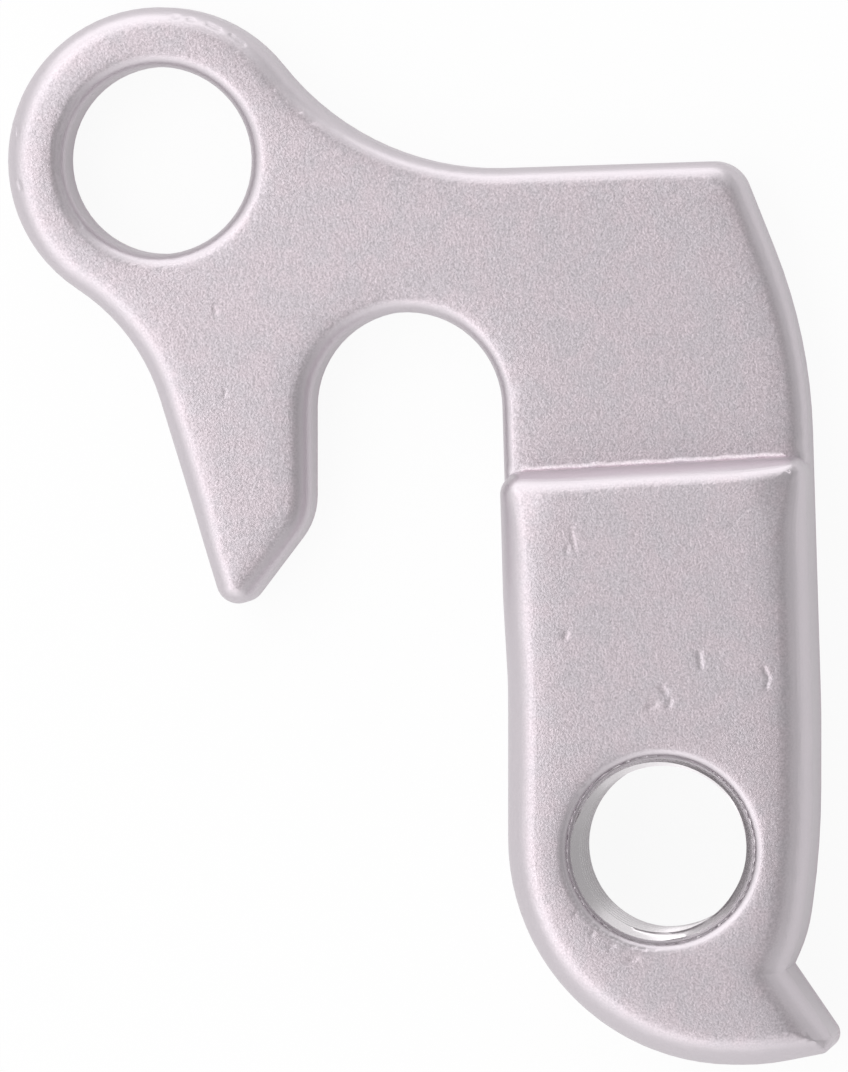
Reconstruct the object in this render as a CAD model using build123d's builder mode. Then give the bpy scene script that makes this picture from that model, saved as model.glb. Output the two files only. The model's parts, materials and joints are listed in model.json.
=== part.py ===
from build123d import *

import os
from math import isclose, radians, sin, tan

os.makedirs("parts", exist_ok=True)

# Replaceable derailleur hanger for a bicycle frame, one piece of aluminium, in millimetres.
# The origin is on the wheel axle's line, at the flat outer face. X points to the rear of the bicycle,
# Y up, and Z inboard, towards the frame that the stepped side nests against.

# Thicknesses and rounded edges. A corner that a rounded edge rolls round is larger by corner_spare.
plate_thickness = 4.0
arm_thickness = 7.5
plate_edge_radius = 1.0
arm_edge_radius = 1.6
corner_spare = 0.05
back_edge_break = 0.3
step_root_radius = 0.35

# Axle slot, open downwards
axle_slot_width = 10.45
axle_slot_flare = 0.28

# Eye for the bolt that holds the hanger to the frame
eye_x = -13.6
eye_y = 13.45
eye_outer_radius = 8.35
eye_bore = 10.2
eye_front_rim = 0.8
eye_back_break = 0.3

# Neck between the eye and the plate
neck_radius = 14.8
top_edge_rise = 1.85
top_corner = (17.9, 13.47)
top_corner_radius = 2.0

# Claw on the front side of the slot
claw_shoulder_drop = 6.1
claw_shoulder_radius = 3.8
claw_point = (-9.74, -12.05)
claw_point_radius = 1.2
claw_lean = 107.1
claw_bend_radius = 11.0

# Arm that carries the derailleur, its walls measured from the tapped hole
thread_x = 14.25
thread_y = -23.7
thread_bore = 9.0
thread_relief = 10.2
thread_relief_depth = 0.7
thread_lead_in = 0.5
thread_rim_radius = 0.5
arm_front = 8.47
arm_rear = 8.12
arm_foot = 11.7
heel_radius = 12.2
front_bend_low = 8.9
front_bend_high = 13.5
front_bend_radius = 25.0
rear_shoulder = (21.74, 3.9)
rear_shoulder_radius = 29.0
rear_swell = 7.3
rear_swell_radius = 60.0

# Stop tab for the derailleur's adjusting screw, measured from the tapped hole
stop_hip_radius = 45.0
stop_waist = (7.45, -4.85)
stop_waist_radius = 8.5
stop_notch = (6.72, -6.5)
stop_point = (9.72, -10.84)
stop_point_radius = 0.8
stop_sole = 5.5
stop_sole_radius = 12.0

# Step from the plate up to the arm, which bears on the edge of the frame
step_height = -2.92
step_tilt = 3.4
step_corner_radius = 1.7
plate_tongue = 5.0

# Places worked out from the sizes above
slot_half = axle_slot_width / 2
thread = Vector(thread_x, thread_y)
front_wall = thread_x - arm_front
rear_wall = thread_x + arm_rear
foot = thread_y - arm_foot
notch = thread + Vector(*stop_notch)
stop_tip = thread + Vector(*stop_point)
sole = Vector(thread_x + stop_sole, foot)
eye = Vector(eye_x, eye_y)
claw_tip = Vector(*claw_point)
top_run = Vector(1, 0).rotate(Axis.Z, top_edge_rise)
claw_run = Vector(1, 0).rotate(Axis.Z, claw_lean)
step_run = Vector(1, 0).rotate(Axis.Z, step_tilt)
step_middle = Vector(thread_x, step_height)

# The bend in the arm's front wall, its radius limited by the run between its two corners
bend_top = Vector(slot_half + axle_slot_flare, thread_y + front_bend_high)
bend_foot = Vector(front_wall, thread_y + front_bend_low)
bend_run = bend_top - bend_foot
bend_half_turn = radians(bend_run.get_angle(Vector(0, 1)) / 2)
bend_radius = min(front_bend_radius, (bend_run.length - corner_spare) / 2 / tan(bend_half_turn))

# The outline's corners, in order from the rear side of the slot round to its front side
corners = [
    (bend_top, bend_radius),
    (bend_foot, bend_radius),
    ((front_wall, foot), heel_radius),
    (sole, stop_sole_radius),
    (stop_tip, arm_edge_radius + corner_spare),
    (notch, 0),
    (thread + Vector(*stop_waist), stop_waist_radius),
    ((rear_wall, thread_y), stop_hip_radius),
    ((rear_wall, thread_y + rear_swell), rear_swell_radius),
    (rear_shoulder, rear_shoulder_radius),
    (top_corner, top_corner_radius),
    (Vector(*top_corner) - top_run * (top_corner[0] - eye_x), 0),
    (claw_tip + claw_run * (eye_y - claw_tip.Y - eye_bore / 2), 0),
    (claw_tip, claw_point_radius),
    ((-slot_half, -claw_shoulder_drop), claw_shoulder_radius),
]
points = [(slot_half, 0), *[place for place, _ in corners], (-slot_half, 0)]
radii = [radius for _, radius in corners]

with BuildSketch() as outline:
    with BuildLine():
        FilletPolyline(*points, radius=radii)
        ThreePointArc((slot_half, 0), (0, slot_half), (-slot_half, 0))
    make_face()
    with Locations(eye):
        Circle(eye_outer_radius)
    neck_corner = outline.vertices().sort_by_distance(eye + Vector(eye_outer_radius, 0))[0]
    fillet(neck_corner, neck_radius)
    claw_corner = outline.vertices().sort_by_distance(eye - Vector(0, eye_outer_radius))[0]
    fillet(claw_corner, claw_bend_radius)

# The stop tab's point is a wedge of its own: a run along each wall, and the middle of the arm's round corner
upper = (notch - stop_tip).normalized()
lower = (sole - stop_tip).normalized()
inward = (upper + lower).normalized()
half_angle = radians(upper.get_angle(lower) / 2)
corner_radius = arm_edge_radius + corner_spare
wedge_run = corner_radius / tan(half_angle)
wedge_corners = (
    stop_tip,
    stop_tip + upper * wedge_run,
    stop_tip + inward * (corner_radius / sin(half_angle)),
    stop_tip + lower * wedge_run,
)

with BuildPart() as arm:
    with BuildSketch() as pad:
        add(outline.sketch)
        reach = outline.sketch.bounding_box().size
        with Locations(step_middle - step_run * thread_x):
            below = (Align.MIN, Align.MAX)
            Rectangle(reach.X, reach.Y, rotation=step_tilt, align=below, mode=Mode.INTERSECT)
        fillet(pad.edges().sort_by(Axis.Y)[-1].vertices(), step_corner_radius)
        step_edge = pad.edges().filter_by(GeomType.LINE).sort_by(Axis.Y)[-1]
    extrude(amount=arm_thickness)
    fillet(arm.faces().sort_by(Axis.Z)[-1].edges(), arm_edge_radius)
    with BuildSketch():
        with BuildLine():
            Polyline(*wedge_corners, close=True)
        make_face()
    extrude(amount=arm_thickness, mode=Mode.SUBTRACT)

# Both walls of the wedge and its nose carry the arm's rounded edge
nose = stop_tip + inward * (stop_point_radius / sin(half_angle) - stop_point_radius)
with BuildPart() as stop_nose:
    with BuildSketch() as wedge:
        with BuildLine():
            Polyline(*wedge_corners, close=True)
        make_face()
        fillet(wedge.vertices().sort_by_distance(stop_tip)[0], stop_point_radius)
    extrude(amount=arm_thickness)
    for wall_point, wall_inward in (
        (stop_tip, upper.rotate(Axis.Z, 90)),
        (stop_tip, lower.rotate(Axis.Z, -90)),
        (nose, inward),
    ):
        along_wall = wall_inward.cross(Vector(0, 0, 1))
        with BuildSketch(Plane(wall_point, x_dir=wall_inward, z_dir=along_wall)) as edge:
            Rectangle(2 * wedge_run, arm_thickness, align=Align.MIN)
            fillet(edge.vertices().group_by(Axis.Y)[-1].sort_by(Axis.X)[0], arm_edge_radius)
        extrude(amount=2 * wedge_run, both=True, mode=Mode.INTERSECT)

with BuildPart() as plate:
    with BuildSketch():
        add(outline.sketch)
        with Locations((0, step_height - plate_tongue)):
            Rectangle(reach.X, reach.Y, align=below, mode=Mode.SUBTRACT)
    extrude(amount=plate_thickness)
    fillet(plate.faces().sort_by(Axis.Z)[-1].edges(), plate_edge_radius)

# Hollow fillet in the root of the step, along its straight run, let into the plate and the arm behind it
step_up = step_run.rotate(Axis.Z, 90)
step_start = Vector(*step_edge.vertices().sort_by(Axis.X)[0])
root_start = step_start + Vector(0, 0, plate_thickness)
with BuildPart() as step_root:
    with BuildSketch(Plane(root_start, x_dir=step_up, z_dir=step_run)):
        Rectangle(2 * step_root_radius, 2 * step_root_radius)
        with Locations((step_root_radius, step_root_radius)):
            Circle(step_root_radius, mode=Mode.SUBTRACT)
    extrude(amount=step_edge.length)


def rims(builder, radius):
    """The round edges of one radius, from the outer face to the inner one."""
    circles = builder.edges().filter_by(GeomType.CIRCLE)
    return circles.filter_by(lambda edge: isclose(edge.radius, radius)).sort_by(Axis.Z)


with BuildPart() as hanger:
    add(arm.part)
    add(stop_nose.part)
    add(plate.part)
    add(step_root.part)
    chamfer(hanger.faces().sort_by(Axis.Z)[0].edges(), back_edge_break)

    with Locations(eye + Vector(0, 0, plate_thickness)):
        Hole(eye_bore / 2)
    eye_rims = rims(hanger, eye_bore / 2)
    fillet(eye_rims[-1], eye_front_rim)
    chamfer(eye_rims[0], eye_back_break)

    with Locations(thread + Vector(0, 0, arm_thickness)):
        CounterBoreHole(thread_bore / 2, thread_relief / 2, thread_relief_depth)
    fillet(rims(hanger, thread_relief / 2)[-1], thread_rim_radius)
    chamfer(rims(hanger, thread_bore / 2), thread_lead_in)

hanger.part.label = "hanger"
export_step(hanger.part, "parts/hanger.step")
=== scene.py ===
"""A bicycle derailleur hanger: one piece of blasted aluminium with a tapped hole, lying on a pale floor."""

import json
import math

import bmesh
import bpy
from bpy.props import FloatProperty, FloatVectorProperty, IntProperty, PointerProperty
from mathutils import Matrix, Vector, noise
from mathutils.bvhtree import BVHTree


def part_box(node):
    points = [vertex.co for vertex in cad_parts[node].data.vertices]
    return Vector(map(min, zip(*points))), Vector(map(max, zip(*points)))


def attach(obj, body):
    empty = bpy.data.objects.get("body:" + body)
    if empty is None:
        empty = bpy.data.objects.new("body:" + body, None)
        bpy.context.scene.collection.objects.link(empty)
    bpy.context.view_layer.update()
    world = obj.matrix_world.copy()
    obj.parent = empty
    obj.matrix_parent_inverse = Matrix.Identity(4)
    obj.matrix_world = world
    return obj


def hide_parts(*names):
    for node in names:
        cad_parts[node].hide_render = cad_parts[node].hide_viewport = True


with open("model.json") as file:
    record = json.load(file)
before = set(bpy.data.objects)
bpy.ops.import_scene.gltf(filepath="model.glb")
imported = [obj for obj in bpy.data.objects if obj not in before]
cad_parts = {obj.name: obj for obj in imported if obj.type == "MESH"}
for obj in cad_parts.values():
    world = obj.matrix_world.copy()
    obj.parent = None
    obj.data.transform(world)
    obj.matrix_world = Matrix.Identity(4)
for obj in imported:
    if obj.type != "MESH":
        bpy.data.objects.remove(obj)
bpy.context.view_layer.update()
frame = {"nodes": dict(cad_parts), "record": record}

bl_info = {
    "name": "Derailleur Hanger",
    "version": (1, 0, 0),
    "blender": (4, 5, 0),
    "location": "View3D > Sidebar > Hanger",
    "description": "Builds a blasted aluminium derailleur hanger and the studio it is seen in",
    "category": "Object",
}

MM = 0.001
MOUNTS = {mount["name"]: mount for mount in frame["record"]["mounts"]}


class HangerForm(bpy.types.PropertyGroup):
    """Sizes of the visible form. Lengths are in millimetres."""

    plate_edge: FloatProperty(
        name="Plate edge", description="Radius of the plate's round edge, in mm", default=1.0)
    arm_edge: FloatProperty(
        name="Arm edge", description="Radius of the arm's round edge, in mm", default=1.6)
    plate_shoulder: FloatProperty(
        name="Plate shoulder", description="Slope at which the plate's flat runs into its round edge",
        default=math.radians(5.0), subtype="ANGLE")
    arm_shoulder: FloatProperty(
        name="Arm shoulder", description="Slope at which the arm's flat runs into its round edge",
        default=math.radians(7.0), subtype="ANGLE")
    shoulder_run: FloatProperty(
        name="Shoulder run", description="How far a shoulder reaches into the flat, in mm", default=0.5)
    eye_rim: FloatProperty(
        name="Eye rim", description="Radius of the round edge at the eye's inboard rim, in mm", default=0.8)
    thread_rim: FloatProperty(
        name="Thread rim", description="Radius of the round edge at the tapped hole's inboard rim, in mm",
        default=0.5)
    thread_relief: FloatProperty(
        name="Thread relief", description="Radius of the tapped hole's relieved mouth, in mm", default=5.1)
    mouth_draw: FloatProperty(
        name="Mouth draw", description="How far the tapped hole's inboard mouth closes in, in mm", default=0.08)
    rim_shoulder: FloatProperty(
        name="Rim shoulder", description="Slope at which a flat runs into a hole's rim",
        default=math.radians(4.0), subtype="ANGLE")
    rim_run: FloatProperty(
        name="Rim run", description="How far a rim's shoulder reaches into the flat, in mm", default=0.3)
    facet: FloatProperty(
        name="Facet", description="Spacing of the grid that the inboard faces are cut along, in mm",
        default=0.5)
    sharp: FloatProperty(
        name="Sharp", description="Angle from which an edge is shaded sharp",
        default=math.radians(32.0), subtype="ANGLE")
    fold: FloatProperty(
        name="Fold", description="Angle from which two facets count as folded over",
        default=math.radians(75.0), subtype="ANGLE")
    sliver: FloatProperty(
        name="Sliver", description="Width under which a sliver of a facet is closed up, in mm", default=0.03)
    thread_pitch: FloatProperty(
        name="Thread pitch", description="Rise of the thread in one turn, in mm", default=1.0)
    thread_outer: FloatProperty(
        name="Thread outer radius", description="Radius at the thread's roots, in mm", default=5.0)
    thread_inner: FloatProperty(
        name="Thread inner radius", description="Radius at the thread's crests, in mm", default=4.5)
    thread_steps: IntProperty(
        name="Thread steps", description="Facets in one turn of the thread", default=96, min=24)


class HangerFinish(bpy.types.PropertyGroup):
    """Colours and roughness of the metal."""

    metal: FloatVectorProperty(
        name="Metal", description="Colour of the blasted aluminium", subtype="COLOR",
        default=(0.657, 0.583, 0.624), min=0.0, max=1.0)
    metal_cool: FloatVectorProperty(
        name="Cool metal", description="Colour of the cooler patches in the aluminium", subtype="COLOR",
        default=(0.625, 0.572, 0.611), min=0.0, max=1.0)
    edge_metal: FloatVectorProperty(
        name="Edge metal", description="Colour of the aluminium on the rounded edges", subtype="COLOR",
        default=(0.632, 0.588, 0.622), min=0.0, max=1.0)
    edge_roughness: FloatProperty(
        name="Edge roughness", description="Roughness of the rounded edges", subtype="FACTOR", default=0.38)
    flat_roughness: FloatProperty(
        name="Flat roughness", description="Roughness of the blasted flats", subtype="FACTOR", default=0.42)
    grain: FloatProperty(
        name="Grain", description="Size of the blasted grain, in mm", default=0.115)
    grain_depth: FloatProperty(
        name="Grain depth", description="Depth of the blasted grain, in mm", default=0.017)
    # The thread's colour: the brighter metal that a tool has cut, lightened further as painted light from the
    # floor in the tapped hole
    cut_metal_and_hole_light: FloatVectorProperty(
        name="Cut metal", description="Colour of the metal that a tool has cut", subtype="COLOR",
        default=(0.74, 0.71, 0.728), min=0.0, max=1.0)
    cut_roughness: FloatProperty(
        name="Cut roughness", description="Roughness of the metal that a tool has cut", subtype="FACTOR",
        default=0.25)


class HangerStudio(bpy.types.PropertyGroup):
    """The camera and the light."""

    lean_right: FloatProperty(
        name="Lean right", description="How far the camera stands to the right of upright", subtype="ANGLE",
        default=math.radians(6.5))
    lean_up: FloatProperty(
        name="Lean up", description="How far the camera stands above upright in the picture", subtype="ANGLE",
        default=math.radians(2.0))
    distance: FloatProperty(
        name="Distance", description="Camera to the middle of the picture", default=0.7, unit="LENGTH")
    picture_width: FloatProperty(
        name="Picture width", description="Width that the picture shows", default=46.09 * MM, unit="LENGTH")
    target: FloatVectorProperty(
        name="Target", description="Point in the middle of the picture", subtype="XYZ",
        default=(0.921 * MM, -6.93 * MM, 3.0 * MM))
    floor: FloatVectorProperty(
        name="Floor", description="Colour of the floor", subtype="COLOR", default=(0.9, 0.9, 0.9),
        min=0.0, max=1.0)
    sky: FloatProperty(name="Sky", description="Strength of the even light from all round", default=0.43)
    floor_glow: FloatProperty(
        name="Floor glow", description="Share of plain white in the floor that the camera sees",
        subtype="FACTOR", default=0.92)
    floor_sheen: FloatProperty(
        name="Floor sheen", description="Share of plain white in the floor that the metal shows",
        subtype="FACTOR", default=0.35)
    lamp_distance: FloatProperty(
        name="Lamp distance", description="Lamps to the middle of the picture", default=0.4, unit="LENGTH")


class Socket:
    """A shader value. Arithmetic on it adds Math nodes."""

    def __init__(self, tree, output):
        self.tree = tree
        self.output = output

    def _math(self, operation, first, second):
        return add_node(self.tree, "ShaderNodeMath", {"operation": operation}, {0: first, 1: second})

    def __add__(self, other):
        return self._math("ADD", self, other)

    def __sub__(self, other):
        return self._math("SUBTRACT", self, other)

    def __mul__(self, other):
        return self._math("MULTIPLY", self, other)

    def __radd__(self, other):
        return self._math("ADD", other, self)

    def __rsub__(self, other):
        return self._math("SUBTRACT", other, self)

    def __rmul__(self, other):
        return self._math("MULTIPLY", other, self)


def add_node(tree, kind, settings=None, inputs=None, output=0):
    """Adds one node, sets it, links or fills its sockets, and gives back one of its outputs."""
    node = tree.nodes.new(kind)
    for name, value in (settings or {}).items():
        setattr(node, name, value)
    for key, value in (inputs or {}).items():
        socket = node.inputs[key] if isinstance(key, int) else live_socket(node.inputs, key)
        if isinstance(value, Socket):
            tree.links.new(value.output, socket)
        else:
            socket.default_value = value
    if not node.outputs:
        return None
    return Socket(tree, node.outputs[output] if isinstance(output, int) else live_socket(node.outputs, output))


def live_socket(sockets, name):
    """The socket of this name that the node's settings leave in use."""
    return next(socket for socket in sockets if socket.name == name and socket.enabled)


# The blasted skin: the pits' size and depth against the grain's, the size of the colour patches in mm, and how
# strongly the grain shows in the colour
PIT_SIZE = 2.7
PIT_DEPTH = 0.6
PATCH_SIZE = 1.6
SPECK = 0.9

# The flatness that stands for metal that a tool has cut, which the material paints lighter, partly as the
# metal's own brightness and partly as painted light from the floor in the tapped hole
TOOLED = -1


def blasted_metal(finish):
    """Blasted aluminium: grain on the flats, a satin skin on the round edges, and brighter on the thread, where
    a tool cut it and where painted light stands in for the floor's light in the hole.
    """
    material = bpy.data.materials.new("blasted_aluminium")
    material.use_nodes = True
    tree = material.node_tree
    tree.nodes.clear()
    place = add_node(tree, "ShaderNodeTexCoord", output="Object")
    flat = add_node(tree, "ShaderNodeAttribute", {"attribute_name": "flatness"}, output="Fac")
    open_flat = add_node(tree, "ShaderNodeMapRange", {"interpolation_type": "SMOOTHSTEP"}, {
        "Value": flat, "From Min": 0.45, "From Max": 1.1, "To Min": 0.1, "To Max": 1.0})
    # Where the thread is: its cut metal colour is partly its own and partly painted light from the floor in the
    # hole
    tooled_and_hole_light = add_node(tree, "ShaderNodeMapRange", {}, {
        "Value": flat, "From Min": -0.9, "From Max": -0.6, "To Min": 1.0, "To Max": 0.0})

    def cloud(size, detail):
        return add_node(tree, "ShaderNodeTexNoise", {"noise_dimensions": "3D"}, {
            "Vector": place, "Scale": 1 / (size * MM), "Detail": detail, "Roughness": 0.6}, output="Fac")

    grain = cloud(finish.grain, 2.0)
    pits = cloud(finish.grain * PIT_SIZE, 1.0)
    patches = cloud(PATCH_SIZE, 2.0)
    relief = (grain + PIT_DEPTH * pits) * open_flat
    bump = add_node(tree, "ShaderNodeBump", {}, {
        "Strength": 1.0, "Distance": finish.grain_depth * MM, "Height": relief})
    cool = add_node(tree, "ShaderNodeMapRange", {}, {
        "Value": patches, "From Min": 0.4, "From Max": 0.62, "To Min": 0.0, "To Max": 1.0})
    speck = 1.0 + (grain - 0.5) * open_flat * SPECK
    tint = add_node(tree, "ShaderNodeMix", {"data_type": "RGBA"}, {
        "Factor": cool, "A": (*finish.metal, 1.0), "B": (*finish.metal_cool, 1.0)}, output="Result")
    bare = add_node(tree, "ShaderNodeMix", {"data_type": "RGBA"}, {
        "Factor": open_flat, "A": (*finish.edge_metal, 1.0), "B": tint}, output="Result")
    skin = add_node(tree, "ShaderNodeMix", {"data_type": "RGBA"}, {
        "Factor": tooled_and_hole_light, "A": bare, "B": (*finish.cut_metal_and_hole_light, 1.0)}, output="Result")
    colour = add_node(tree, "ShaderNodeVectorMath", {"operation": "SCALE"}, {"Vector": skin, "Scale": speck})
    rough = (finish.edge_roughness + open_flat * (finish.flat_roughness - finish.edge_roughness)
             + tooled_and_hole_light * (finish.cut_roughness - finish.edge_roughness))
    shader = add_node(tree, "ShaderNodeBsdfPrincipled", {}, {
        "Base Color": colour, "Metallic": 1.0, "Roughness": rough, "Normal": bump})
    add_node(tree, "ShaderNodeOutputMaterial", {}, {"Surface": shader})
    return material


# From here to the body's operator, lengths and places are in mm unless a comment says otherwise

# Two places this near are one, on the solid's mesh and along a cut
WELD = 0.002
CUT_WELD = WELD / 10

# Upward part of the normal of a level face, of one that isn't upright, and of one that can take a mark
LEVEL = 0.99999
UPRIGHT = 0.05
MARKABLE = 0.2

# Refining: the angle within which level faces are one, half the height of the band under a flat where
# slivers are closed up, and how far the line of the step is left alone
FLAT_ANGLE = math.radians(0.1)
SLIVER_BAND = 0.07
STEP_CLEAR = 1

# Unfolding: where it starts above the foot of the plate's round edge, and how often it is tried
FOLD_START = 0.1
FOLD_PASSES = 20

# How a round edge grows and shrinks along the outline: a place, and the edge's size there
PLATE_SIZES = (
    ((-22, 14), 1.25),
    ((-18, 3), 1.25),
    ((-13, -4), 1.25),
    ((-10.6, -9.8), 1.0),
    ((-8.2, -9.5), 1.0),
    ((-12, 22), 1.1),
    ((8, 13.2), 0.95),
    ((20, 6), 1.0),
    ((5.2, 0), 0.65),
    ((0, 5.2), 0.85),
    ((-5.2, -2), 1.0),
)
ARM_SIZES = (
    ((8, -3.3), 0.78),
    ((14, -2.9), 0.72),
    ((20, -2.6), 0.7),
    ((5.4, -8), 1.0),
    ((22.4, -8), 1.0),
    ((5.8, -20), 1.0),
    ((22.4, -20), 1.0),
    ((14, -35), 1.0),
    ((23, -33), 1.0),
)

# How those sizes blend: an area in mm2 that keeps each from ruling its own place alone, and how fast its
# weight falls off
SIZE_BLEND = 0.5
SIZE_FALLOFF = 1.5

# How far a resized edge draws the flat along, and how far a wall is drawn out past its round edge
FLAT_DRAW = 2
WALL_SPARE = 1

# The two ends of the step: a corner of the arm, and how much tighter it is than the solid's
STEP_CORNERS = (
    ((5.33, -3.45), 0.72),
    ((22.03, -2.46), 0.55),
)
CORNER_RADIUS = 1.7
CORNER_REACH = 4.0
CORNER_FADE = 0.5

# How far from the tapped hole's relief its mouth is drawn in, and how deep
MOUTH_REACH = 1

# The hollow at the root of the step: its size, and each wave in it as a depth, a rate per mm and a row of
# the noise
ROOT_SIZE = 0.4
ROOT_WAVES = (
    (0.12, 1.1, 0),
    (0.06, 3, 5),
)

# Corners that blasting has rounded off: the middle of each, and how wide and how deep it is worn
WORN = (
    ((6.2, -4.4), 1.2, 0.2),
    ((21.1, -4.1), 1.1, 0.18),
    ((22.1, -33.5), 0.9, 0.16),
    ((22.8, -34.1), 0.5, 0.12),
)

# How high above the plate the wear on the corners starts
WORN_START = 1

# Dings and scratches: the middle of each, the way it runs, in degrees, and its length, width and depth
MARKS = (
    ((9.14, -12.08), 60, 0.2, 0.13, 0.046),
    ((9.5, -6.9), 100, 1.2, 0.08, 0.026),
    ((9.2, -7.5), 80, 0.4, 0.08, 0.026),
    ((18.6, -5.6), 42, 1.4, 0.07, 0.013),
    ((16.4, -13.4), 95, 0.7, 0.12, 0.039),
    ((19.95, -14.0), 110, 0.5, 0.1, 0.039),
    ((20.05, -14.6), 75, 0.6, 0.1, 0.039),
    ((13.85, -15.9), 20, 0.35, 0.16, 0.039),
    ((14.45, -15.05), 140, 0.3, 0.14, 0.039),
    ((14.75, -15.75), 70, 0.3, 0.14, 0.033),
    ((-9.85, 0.84), 90, 0.5, 0.07, 0.026),
    ((-10.39, 5.35), 100, 0.6, 0.06, 0.023),
    ((-12.58, 21.26), 0, 0.2, 0.13, 0.065),
    ((-11.75, 21.09), 170, 0.25, 0.12, 0.065),
    ((-10.5, 20.7), 155, 0.7, 0.1, 0.058),
    ((-9.2, 20.0), 145, 0.9, 0.09, 0.058),
    ((3.0, 13.1), 0, 0.7, 0.1, 0.052),
    ((18.1, 12.6), 130, 0.5, 0.12, 0.065),
    ((-21.3, 15.1), 95, 0.4, 0.1, 0.065),
    ((-21.15, 12.1), 110, 0.3, 0.12, 0.065),
    ((-21.3, 18.1), 65, 0.3, 0.1, 0.052),
    ((11.6, -28.9), 20, 0.25, 0.1, 0.039),
    ((10.6, -28.2), 50, 0.2, 0.1, 0.039),
    ((9.7, -27.1), 60, 0.2, 0.09, 0.039),
    ((12.8, -29.6), 10, 0.3, 0.09, 0.039),
)

# How far a mark or a worn corner reaches, in its own widths, the spacing of the cuts under the marks, and the
# height that marks start at
MARK_REACH = 3
MARK_FACET = 0.1
MARK_START = 2

# Creases beside the two holes: the hole's mount, then the crease's radius, and its two ends in degrees
CREASES = (
    ("frame_bolt_eye", 5.45, 142, 222),
    ("derailleur_thread", 5.45, 192, 262),
)

# A crease is a row of short strokes: the degrees between them, their half length, width, depth and reach, how
# far they stray from the radius, how much deeper the straying makes them, and how fast it changes per degree
STROKE_TURN = 3
STROKE_HALF = 0.1
STROKE_WIDTH = 0.08
STROKE_DEPTH = 0.02
STROKE_REACH = 0.35
STROKE_STRAY = 0.08
STROKE_UNEVEN = 0.025
STROKE_RATE = 0.37

# The thread: the slope of its flanks, its crests' share of the pitch, where each run of a tooth is divided,
# how far inside the mouths it is cut off, and the cuts in each edge of a mouth
FLANK_SLOPE = math.radians(30)
CREST_SHARE = 1 / 4
RUN_SHARES = (1 / 3, 2 / 3, 1)
THREAD_INSET = 0.1
MOUTH_CUTS = 3


def mount_place(name):
    """Where a mount is, in mm."""
    return Vector(MOUNTS[name]["pos_m"]) / MM


EYE = mount_place("frame_bolt_eye")
THREAD = mount_place("derailleur_thread")
STEP = mount_place("frame_step")
STEP_UP = Vector(MOUNTS["frame_step"]["axis"])


def above_step(point):
    """How far a point lies beyond the face of the step, on the plate's side."""
    return (point - STEP).dot(STEP_UP)


def heading(degrees):
    """The way that an angle points, seen from inboard."""
    return Vector((math.cos(math.radians(degrees)), math.sin(math.radians(degrees))))


def edge_size(foot, sizes):
    """The size of a round edge at a place on its wall, blended from the places around it."""
    weights = [1 / ((foot.x - x) ** 2 + (foot.y - y) ** 2 + SIZE_BLEND) ** SIZE_FALLOFF for (x, y), _ in sizes]
    return sum(weight * size for weight, (_, size) in zip(weights, sizes)) / sum(weights)


def shoulder_drop(distance, radius, slope, run):
    """How far a soft shoulder lowers a point at this distance from the wall."""
    inside = radius - distance
    if inside < 0:
        return slope * run * math.exp(inside / run)
    return slope * (run + inside + inside * inside / (2 * run))


class Wall:
    """A wall that a round edge comes up from."""

    def __init__(self, edges, low, high):
        corners, sides = [], []
        for edge in edges:
            start = len(corners)
            first, last = [vertex.co for vertex in edge.verts]
            corners += [(first.x, first.y, low), (last.x, last.y, low),
                        (last.x, last.y, high), (first.x, first.y, high)]
            sides.append((start, start + 1, start + 2, start + 3))
        self.tree = BVHTree.FromPolygons(corners, sides)

    def measure(self, point):
        """A point's distance from the wall, the way into the metal, and the nearest place on the wall."""
        foot, _, _, distance = self.tree.find_nearest(point)
        inward = point - foot
        return distance, inward.normalized() if distance > WELD else Vector(), foot


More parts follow.
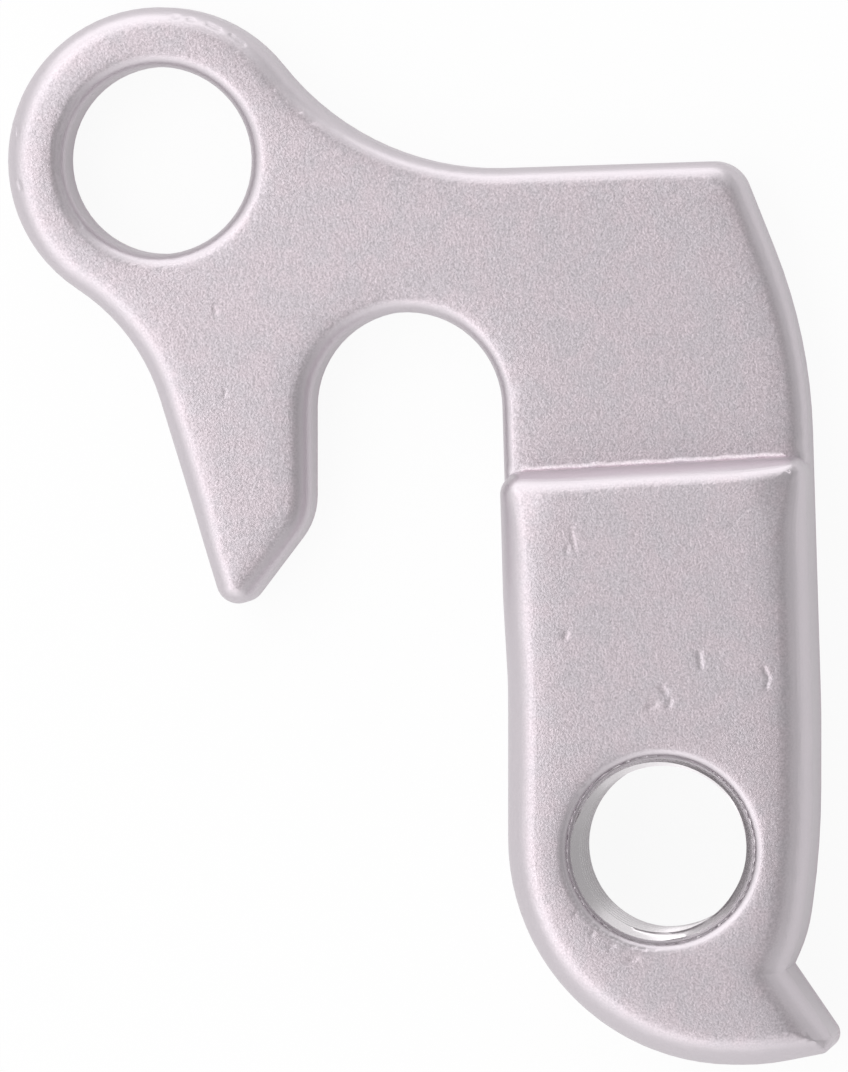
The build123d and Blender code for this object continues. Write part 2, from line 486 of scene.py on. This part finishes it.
class OBJECT_OT_hanger_body(bpy.types.Operator):
    """Builds the hanger's visible body over its CAD solid, with soft edges and a real thread"""

    bl_idname = "object.hanger_body"
    bl_label = "Hanger body"

    def execute(self, context):
        form = context.scene.hanger_form
        self.arm_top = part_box("hanger")[1][2] / MM
        self.plate_top = MOUNTS["dropout_seat"]["pos_m"][2] / MM
        self.arm_foot = self.arm_top - form.arm_edge
        self.plate_foot = self.plate_top - form.plate_edge
        shape = bmesh.new()
        shape.from_mesh(frame["nodes"]["hanger"].data)
        bmesh.ops.scale(shape, vec=(1 / MM, 1 / MM, 1 / MM), verts=shape.verts)
        bmesh.ops.remove_doubles(shape, verts=shape.verts, dist=WELD)
        self.refine(shape, form)
        self.tighten_corners(shape)
        self.draw_in_mouth(shape, form)
        self.roughen_root(shape)
        self.soften(shape, form)
        self.wear_corners(shape)
        self.cut_marks(shape)
        self.cut_thread(shape, form)
        bmesh.ops.recalc_face_normals(shape, faces=shape.faces)
        bmesh.ops.triangulate(shape, faces=[face for face in shape.faces if len(face.verts) > 4])
        self.unfold(shape, form)
        self.shade(shape, form)
        bmesh.ops.scale(shape, vec=(MM, MM, MM), verts=shape.verts)
        mesh = bpy.data.meshes.new("hanger_body")
        shape.to_mesh(mesh)
        shape.free()
        body = bpy.data.objects.new("hanger_body", mesh)
        context.scene.collection.objects.link(body)
        weighted = body.modifiers.new("even_shading", "WEIGHTED_NORMAL")
        weighted.mode = "FACE_AREA_WITH_ANGLE"
        weighted.keep_sharp = True
        mesh.materials.append(blasted_metal(context.scene.hanger_finish))
        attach(body, "root")
        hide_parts("hanger")
        return {"FINISHED"}

    def refine(self, shape, form):
        """Clears the flats of their long slivers, then cuts the inboard faces along an even grid."""
        flats = [face for face in shape.faces if face.normal.z > LEVEL]
        bmesh.ops.dissolve_limit(shape, angle_limit=FLAT_ANGLE, use_dissolve_boundaries=False,
                                 verts=list(dict.fromkeys(vertex for face in flats for vertex in face.verts)),
                                 edges=list(dict.fromkeys(edge for face in flats for edge in face.edges)))
        low = self.plate_foot - WELD
        self.cut_grid(shape, form.facet, lambda face: face.normal.z > UPRIGHT and face.verts[0].co.z > low)
        tops = (self.plate_top, self.arm_top)
        close = [vertex for vertex in shape.verts
                 if min(abs(vertex.co.z - top + SLIVER_BAND) for top in tops) < SLIVER_BAND + WELD
                 and abs(above_step(vertex.co)) > STEP_CLEAR]
        bmesh.ops.remove_doubles(shape, verts=close, dist=form.sliver)

    def cut_grid(self, shape, spacing, wanted):
        """Cuts the wanted faces along an even grid, so that none of them is longer than its spacing."""
        corners = [Vector(corner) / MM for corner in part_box("hanger")]
        for side in (Vector((1, 0, 0)), Vector((0, 1, 0))):
            start, end = [corner.dot(side) for corner in corners]
            ahead = [face for face in shape.faces if wanted(face)]
            ahead.sort(key=lambda face: -min(vertex.co.dot(side) for vertex in face.verts))
            reached = []
            for step in range(1, int((end - start) / spacing) + 1):
                place = start + step * spacing
                while ahead and min(vertex.co.dot(side) for vertex in ahead[-1].verts) < place:
                    reached.append(ahead.pop())
                reached = [face for face in reached
                           if max(vertex.co.dot(side) for vertex in face.verts) > place]
                if not reached:
                    continue
                edges = dict.fromkeys(edge for face in reached for edge in face.edges)
                verts = dict.fromkeys(vertex for face in reached for vertex in face.verts)
                cut = bmesh.ops.bisect_plane(shape, geom=[*reached, *edges, *verts], dist=CUT_WELD,
                                             plane_co=side * place, plane_no=side)
                reached = [item for item in cut["geom"] if isinstance(item, bmesh.types.BMFace)]

    def tighten_corners(self, shape):
        """Draws the arm's two corners at the step out to the photographed tightness."""
        low = self.plate_foot - WELD
        for place, tightness in STEP_CORNERS:
            corner = Vector(place)
            small = CORNER_RADIUS * tightness
            for vertex in shape.verts:
                out = vertex.co.xy - corner
                reach = out.length
                if vertex.co.z < low or reach > CORNER_REACH or reach < WELD:
                    continue
                if reach < CORNER_RADIUS:
                    drawn = reach * tightness
                else:
                    beyond = reach - CORNER_RADIUS
                    drawn = small + beyond * (CORNER_REACH - small) / (CORNER_REACH - CORNER_RADIUS)
                share = min(max(1 - above_step(vertex.co) / CORNER_FADE, 0), 1)
                vertex.co.xy += out / reach * (drawn - reach) * share

    def draw_in_mouth(self, shape, form):
        """Closes the tapped hole's inboard mouth by the little that the photograph shows."""
        for vertex in shape.verts:
            out = vertex.co.xy - THREAD.xy
            share = min(1, (form.thread_relief + MOUTH_REACH - out.length) / (MOUTH_REACH - form.thread_rim))
            if vertex.co.z > self.arm_top - MOUTH_REACH and share > 0 and out.length > form.thread_inner + WELD:
                vertex.co.xy -= out.normalized() * form.mouth_draw * share

    def roughen_root(self, shape):
        """Makes the hollow at the foot of the step as uneven as the casting left it."""
        for vertex in shape.verts:
            above = above_step(vertex.co)
            height = vertex.co.z - self.plate_top
            if -WELD < height < ROOT_SIZE and -WELD < above < ROOT_SIZE and vertex.co.x > 0:
                share = 1 - height / ROOT_SIZE
                uneven = sum(depth * noise.noise((vertex.co.x * rate, row, 0))
                             for depth, rate, row in ROOT_WAVES)
                vertex.co += STEP_UP * share * uneven

    def walls_under(self, shape, level):
        """The edges where upright walls stop at this height."""
        return [edge for edge in shape.edges
                if all(abs(vertex.co.z - level) < WELD for vertex in edge.verts)
                and any(abs(face.normal.z) < UPRIGHT for face in edge.link_faces)]

    def soften(self, shape, form):
        """Resizes the round edges and lowers the flats towards them, as blasting leaves them."""
        plate_wall = Wall(self.walls_under(shape, self.plate_foot),
                          self.plate_foot - WALL_SPARE, self.plate_top + WALL_SPARE)
        arm_wall = Wall(self.walls_under(shape, self.arm_foot),
                        self.arm_foot - WALL_SPARE, self.arm_top + WALL_SPARE)
        eye_radius = MOUNTS["frame_bolt_eye"]["dims"]["r_mm"]
        flat = shape.verts.layers.float.new("flatness")
        for vertex in shape.verts:
            height = vertex.co.z
            if height > self.arm_foot - WELD:
                distance, inward, foot = arm_wall.measure(vertex.co)
                rim = (vertex.co.xy - THREAD.xy).length - form.thread_relief
                vertex[flat] = min(distance / form.arm_edge, max(rim, 0) / form.thread_rim)
                size = edge_size(foot, ARM_SIZES)
                self.resize_edge(vertex, self.arm_top, form.arm_edge, size, distance, inward)
                vertex.co.z -= shoulder_drop(distance, form.arm_edge, form.arm_shoulder, form.shoulder_run)
                if rim > -WELD:
                    vertex.co.z -= shoulder_drop(rim, form.thread_rim, form.rim_shoulder, form.rim_run)
            elif self.plate_foot - WELD < height < self.plate_top + WELD:
                distance, inward, foot = plate_wall.measure(vertex.co)
                rim = (vertex.co.xy - EYE.xy).length - eye_radius
                vertex[flat] = min(distance / form.plate_edge, max(rim, 0) / form.eye_rim)
                if rim < form.eye_rim:
                    vertex.co.z -= shoulder_drop(max(rim, 0), form.eye_rim, form.rim_shoulder, form.rim_run)
                    continue
                size = edge_size(foot, PLATE_SIZES)
                self.resize_edge(vertex, self.plate_top, form.plate_edge, size, distance, inward)
                vertex.co.z -= shoulder_drop(distance, form.plate_edge, form.plate_shoulder, form.shoulder_run)
                vertex.co.z -= shoulder_drop(rim, form.eye_rim, form.rim_shoulder, form.rim_run)
            else:
                vertex[flat] = 1

    def resize_edge(self, vertex, top, radius, size, distance, inward):
        """Makes the round edge larger or smaller at one point, and draws the flat beside it along."""
        if distance < radius:
            vertex.co.z = top - (top - vertex.co.z) * size
            vertex.co += inward * distance * (size - 1)
        else:
            fade = max(0, 1 - (distance - radius) / FLAT_DRAW) ** 2
            vertex.co += inward * radius * (size - 1) * fade

    def wear_corners(self, shape):
        """Lowers the corners where two of the arm's round edges meet."""
        for place, width, depth in WORN:
            for vertex in shape.verts:
                away = (vertex.co.xy - Vector(place)).length
                if away < MARK_REACH * width and vertex.co.z > self.plate_top + WORN_START:
                    vertex.co.z -= depth * math.exp(-(away / width) ** 2)

    def cut_marks(self, shape):
        """Sinks the dings, scratches and creases, on facets small enough to show them."""
        marks = []
        for place, turn, length, width, depth in MARKS:
            half = length / 2
            marks.append((Vector(place), heading(turn), half, width, depth, half + MARK_REACH * width))
        for name, radius, start, end in CREASES:
            for turn in range(start, end, STROKE_TURN):
                out = heading(turn)
                stray = noise.noise((turn * STROKE_RATE, radius, 0))
                place = mount_place(name).xy + out * (radius + STROKE_STRAY * stray)
                depth = STROKE_DEPTH + STROKE_UNEVEN * abs(stray)
                marks.append((place, Vector((-out.y, out.x)), STROKE_HALF, STROKE_WIDTH, depth, STROKE_REACH))

        def marked(face):
            middle = face.calc_center_median().xy
            return face.normal.z > MARKABLE and any((middle - mark[0]).length < mark[-1] for mark in marks)

        self.cut_grid(shape, MARK_FACET, marked)
        for vertex in shape.verts:
            for place, run, half, width, depth, reach in marks:
                offset = vertex.co.xy - place
                if offset.length < reach and vertex.co.z > MARK_START:
                    along = max(abs(offset.dot(run)) - half, 0)
                    across = run.cross(offset)
                    vertex.co.z -= depth * math.exp(-(along ** 2 + across ** 2) / width ** 2)

    def cut_thread(self, shape, form):
        """Takes out the plain bore and puts a real thread in its place."""
        lead_in = form.thread_outer - form.thread_inner
        half = MOUNTS["derailleur_thread"]["dims"]["length_mm"] / 2 + lead_in
        low, high = THREAD.z - half, THREAD.z + half
        middle = (low + high) / 2
        axis = Vector((THREAD.x, THREAD.y, 0))
        reach = form.thread_outer + WELD
        bore = [face for face in shape.faces if all(
            (vertex.co - axis).xy.length < reach and vertex.co.z < high + WELD for vertex in face.verts)]
        bmesh.ops.delete(shape, geom=bore, context="FACES")
        mouths = [edge for edge in shape.edges if edge.is_boundary]
        bmesh.ops.subdivide_edges(shape, edges=mouths, cuts=MOUTH_CUTS)
        mouths = [edge for edge in shape.edges if edge.is_boundary]
        for vertex in dict.fromkeys(vertex for edge in mouths for vertex in edge.verts):
            out = vertex.co.xy - axis.xy
            mouth = form.thread_outer if vertex.co.z < middle else form.thread_outer - form.mouth_draw
            vertex.co.xy = axis.xy + out.normalized() * mouth

        screw = self.thread(form, axis, low, high)
        for edge in mouths:
            screw.edges.new([screw.verts.new(vertex.co) for vertex in edge.verts])
        bmesh.ops.remove_doubles(screw, verts=screw.verts, dist=CUT_WELD)
        for side in (-1, 1):
            rims = [edge for edge in screw.edges if len(edge.link_faces) < 2
                    and all((vertex.co.z - middle) * side > 0 for vertex in edge.verts)]
            bmesh.ops.bridge_loops(screw, edges=rims)
        flat = screw.verts.layers.float.new("flatness")
        for vertex in screw.verts:
            vertex[flat] = TOOLED
        mesh = bpy.data.meshes.new("thread")
        screw.to_mesh(mesh)
        screw.free()
        shape.from_mesh(mesh)
        bpy.data.meshes.remove(mesh)
        rims = [vertex for vertex in shape.verts if vertex.is_boundary]
        bmesh.ops.remove_doubles(shape, verts=rims, dist=CUT_WELD)

    def thread(self, form, axis, low, high):
        """One tooth spun up the hole, cut off at both mouths and opened out by their lead-ins."""
        pitch, root, crest = form.thread_pitch, form.thread_outer, form.thread_inner
        flank = (root - crest) * math.tan(FLANK_SLOPE)
        crest_run = pitch * CREST_SHARE
        root_run = pitch - 2 * flank - crest_run
        turns = math.ceil((high - low) / pitch) + 2
        steps = turns * form.thread_steps
        screw = bmesh.new()
        corners = ((root, 0), (root, root_run), (crest, root_run + flank),
                   (crest, root_run + flank + crest_run), (root, pitch))
        places = [corners[0]]
        for first, last in zip(corners, corners[1:]):
            places += [(first[0] + (last[0] - first[0]) * share, first[1] + (last[1] - first[1]) * share)
                       for share in RUN_SHARES]
        tooth = [screw.verts.new(axis + Vector((radius, 0, low - pitch + rise))) for radius, rise in places]
        lines = [screw.edges.new(pair) for pair in zip(tooth, tooth[1:])]
        bmesh.ops.spin(screw, geom=tooth + lines, cent=axis, axis=(0, 0, 1), dvec=(0, 0, turns * pitch / steps),
                       angle=math.tau * turns, steps=steps, use_merge=False)
        bmesh.ops.remove_doubles(screw, verts=screw.verts, dist=WELD)
        for level, up in ((low + THREAD_INSET, -1), (high - THREAD_INSET, 1)):
            geom = screw.verts[:] + screw.edges[:] + screw.faces[:]
            bmesh.ops.bisect_plane(screw, geom=geom, dist=CUT_WELD, plane_co=(0, 0, level), plane_no=(0, 0, up),
                                   clear_outer=True)
        bmesh.ops.remove_doubles(screw, verts=screw.verts, dist=WELD)
        for vertex in screw.verts:
            out = (vertex.co - axis) * Vector((1, 1, 0))
            cone = root - min(vertex.co.z - low, high - vertex.co.z + form.mouth_draw)
            if out.length < cone:
                vertex.co += out.normalized() * (cone - out.length)
        return screw

    def off_mouth(self, vertex, form):
        """Whether a point lies outside the tapped hole's rounded mouth."""
        return (vertex.co.xy - THREAD.xy).length > form.thread_relief + form.thread_rim

    def unfold(self, shape, form):
        """Evens out the few facets that the finishing has folded over."""
        low = self.plate_foot + FOLD_START
        inboard = [edge for edge in shape.edges if all(
            vertex.co.z > low and abs(above_step(vertex.co)) > STEP_CLEAR and self.off_mouth(vertex, form)
            for vertex in edge.verts)]
        for _ in range(FOLD_PASSES):
            shape.normal_update()
            folded = dict.fromkeys(vertex for edge in inboard if edge.calc_face_angle(0) > form.fold
                                   for vertex in edge.verts)
            if not folded:
                break
            bmesh.ops.smooth_vert(shape, verts=list(folded), factor=0.5,
                                  use_axis_x=True, use_axis_y=True, use_axis_z=True)

    def shade(self, shape, form):
        """Shades the body smooth, with sharp edges only off the arm's round edge."""
        for face in shape.faces:
            face.smooth = True
        for edge in shape.edges:
            rounded = all(vertex.co.z > self.arm_foot and self.off_mouth(vertex, form) for vertex in edge.verts)
            edge.smooth = rounded or edge.calc_face_angle(0) < form.sharp


# Each lamp: its place round the part and its lean from upright, its width and height as seen from the part,
# all in degrees, and its brightness
LAMPS = (
    ("left_near_box", 180.0, 22.0, 44.0, 20.0, 1.4),
    ("left_box", 180.0, 45.0, 70.0, 28.0, 0.88),
    ("left_far_box", 180.0, 72.0, 80.0, 28.0, 0.62),
    ("upper_left_box", 125.0, 45.0, 45.0, 28.0, 0.95),
    ("lower_left_box", 235.0, 45.0, 45.0, 28.0, 0.8),
    ("top_far_box", 105.0, 76.0, 75.0, 32.0, 1.3),
    ("top_box", 80.0, 45.0, 50.0, 28.0, 0.52),
    ("top_right_box", 45.0, 72.0, 50.0, 30.0, 0.26),
    ("low_far_box", 255.0, 72.0, 75.0, 30.0, 0.75),
    ("low_box", 280.0, 45.0, 50.0, 28.0, 0.5),
    ("right_box", 0.0, 72.0, 50.0, 30.0, 0.18),
    ("low_right_box", 315.0, 72.0, 50.0, 30.0, 0.24),
)

# In metres: half the floor's width, how far it lies under the part, and what the camera sees from and to
FLOOR_HALF = 1.0
FLOOR_DROP = 0.02 * MM
CLIP_START = 0.05
CLIP_END = 10.0

WHITE = (1, 1, 1, 1)


class SCENE_OT_hanger_stage(bpy.types.Operator):
    """Sets the floor, the lamps and the camera"""

    bl_idname = "scene.hanger_stage"
    bl_label = "Studio"

    def execute(self, context):
        scene = context.scene
        studio = scene.hanger_studio
        self.add_floor(scene, studio)
        self.add_sky(scene, studio)
        for lamp in LAMPS:
            self.add_lamp(scene, studio, *lamp)
        self.add_camera(scene, studio)
        scene.view_settings.view_transform = "Standard"
        return {"FINISHED"}

    def add_floor(self, scene, studio):
        """A pale floor that takes the part's shadow, whiter to the camera than to the part."""
        shape = bmesh.new()
        bmesh.ops.create_grid(shape, x_segments=1, y_segments=1, size=FLOOR_HALF)
        bmesh.ops.translate(shape, verts=shape.verts, vec=(0, 0, -FLOOR_DROP))
        mesh = bpy.data.meshes.new("floor")
        shape.to_mesh(mesh)
        shape.free()
        floor = bpy.data.objects.new("floor", mesh)
        scene.collection.objects.link(floor)
        material = bpy.data.materials.new("pale_floor")
        material.use_nodes = True
        tree = material.node_tree
        tree.nodes.clear()
        pale = add_node(tree, "ShaderNodeBsdfDiffuse", {}, {"Color": (*studio.floor, 1.0)})
        glow = add_node(tree, "ShaderNodeEmission", {}, {"Color": WHITE, "Strength": 1.0})
        camera, glossy, through = [add_node(tree, "ShaderNodeLightPath", output=ray)
                                   for ray in ("Is Camera Ray", "Is Glossy Ray", "Is Transmission Ray")]
        seen = camera * studio.floor_glow + (glossy + through) * studio.floor_sheen
        mixed = add_node(tree, "ShaderNodeMixShader", {}, {0: seen, 1: pale, 2: glow})
        add_node(tree, "ShaderNodeOutputMaterial", {}, {"Surface": mixed})
        mesh.materials.append(material)

    def add_sky(self, scene, studio):
        """Even light from all round."""
        world = bpy.data.worlds.new("studio_sky")
        world.use_nodes = True
        tree = world.node_tree
        tree.nodes.clear()
        light = add_node(tree, "ShaderNodeBackground", {}, {"Color": WHITE, "Strength": studio.sky})
        add_node(tree, "ShaderNodeOutputWorld", {}, {"Surface": light})
        scene.world = world

    def add_lamp(self, scene, studio, name, azimuth, lean, width, height, radiance):
        """A soft box that faces the middle of the picture."""
        away = Vector((math.sin(math.radians(lean)), 0, math.cos(math.radians(lean))))
        away.rotate(Matrix.Rotation(math.radians(azimuth), 3, "Z"))
        side = Vector((0, 0, 1)).cross(away).normalized()
        turn = Matrix((side, away.cross(side), away)).transposed().to_4x4()
        lamp = bpy.data.lights.new(name, "AREA")
        lamp.shape = "RECTANGLE"
        lamp.size = 2 * studio.lamp_distance * math.tan(math.radians(width / 2))
        lamp.size_y = 2 * studio.lamp_distance * math.tan(math.radians(height / 2))
        lamp.energy = radiance * math.pi * lamp.size * lamp.size_y
        item = bpy.data.objects.new(name, lamp)
        item.matrix_world = Matrix.Translation(Vector(studio.target) + away * studio.lamp_distance) @ turn
        scene.collection.objects.link(item)

    def add_camera(self, scene, studio):
        """The camera, looking down on the part with the photograph's small lean."""
        right, up = studio.lean_right, studio.lean_up
        back = Vector((math.sin(right) * math.cos(up), math.sin(up), math.cos(right) * math.cos(up)))
        side = Vector((0, 1, 0)).cross(back).normalized()
        turn = Matrix((side, back.cross(side), back)).transposed().to_4x4()
        data = bpy.data.cameras.new("camera")
        data.sensor_fit = "HORIZONTAL"
        data.lens = data.sensor_width * studio.distance / studio.picture_width
        data.clip_start = CLIP_START
        data.clip_end = CLIP_END
        camera = bpy.data.objects.new("camera", data)
        camera.matrix_world = Matrix.Translation(Vector(studio.target) + back * studio.distance) @ turn
        scene.collection.objects.link(camera)
        scene.camera = camera


class VIEW3D_PT_hanger(bpy.types.Panel):
    """The hanger's pieces and its studio"""

    bl_label = "Hanger"
    bl_space_type = "VIEW_3D"
    bl_region_type = "UI"
    bl_category = "Hanger"

    def draw(self, context):
        for kind in (OBJECT_OT_hanger_body, SCENE_OT_hanger_stage):
            self.layout.operator(kind.bl_idname)


CLASSES = (
    HangerForm,
    HangerFinish,
    HangerStudio,
    OBJECT_OT_hanger_body,
    SCENE_OT_hanger_stage,
    VIEW3D_PT_hanger,
)


def register():
    for kind in CLASSES:
        bpy.utils.register_class(kind)
    bpy.types.Scene.hanger_form = PointerProperty(type=HangerForm)
    bpy.types.Scene.hanger_finish = PointerProperty(type=HangerFinish)
    bpy.types.Scene.hanger_studio = PointerProperty(type=HangerStudio)


def unregister():
    for name in ("hanger_form", "hanger_finish", "hanger_studio"):
        delattr(bpy.types.Scene, name)
    for kind in reversed(CLASSES):
        bpy.utils.unregister_class(kind)


def main():
    register()
    bpy.ops.object.hanger_body()
    bpy.ops.scene.hanger_stage()


if __name__ == "__main__":
    main()
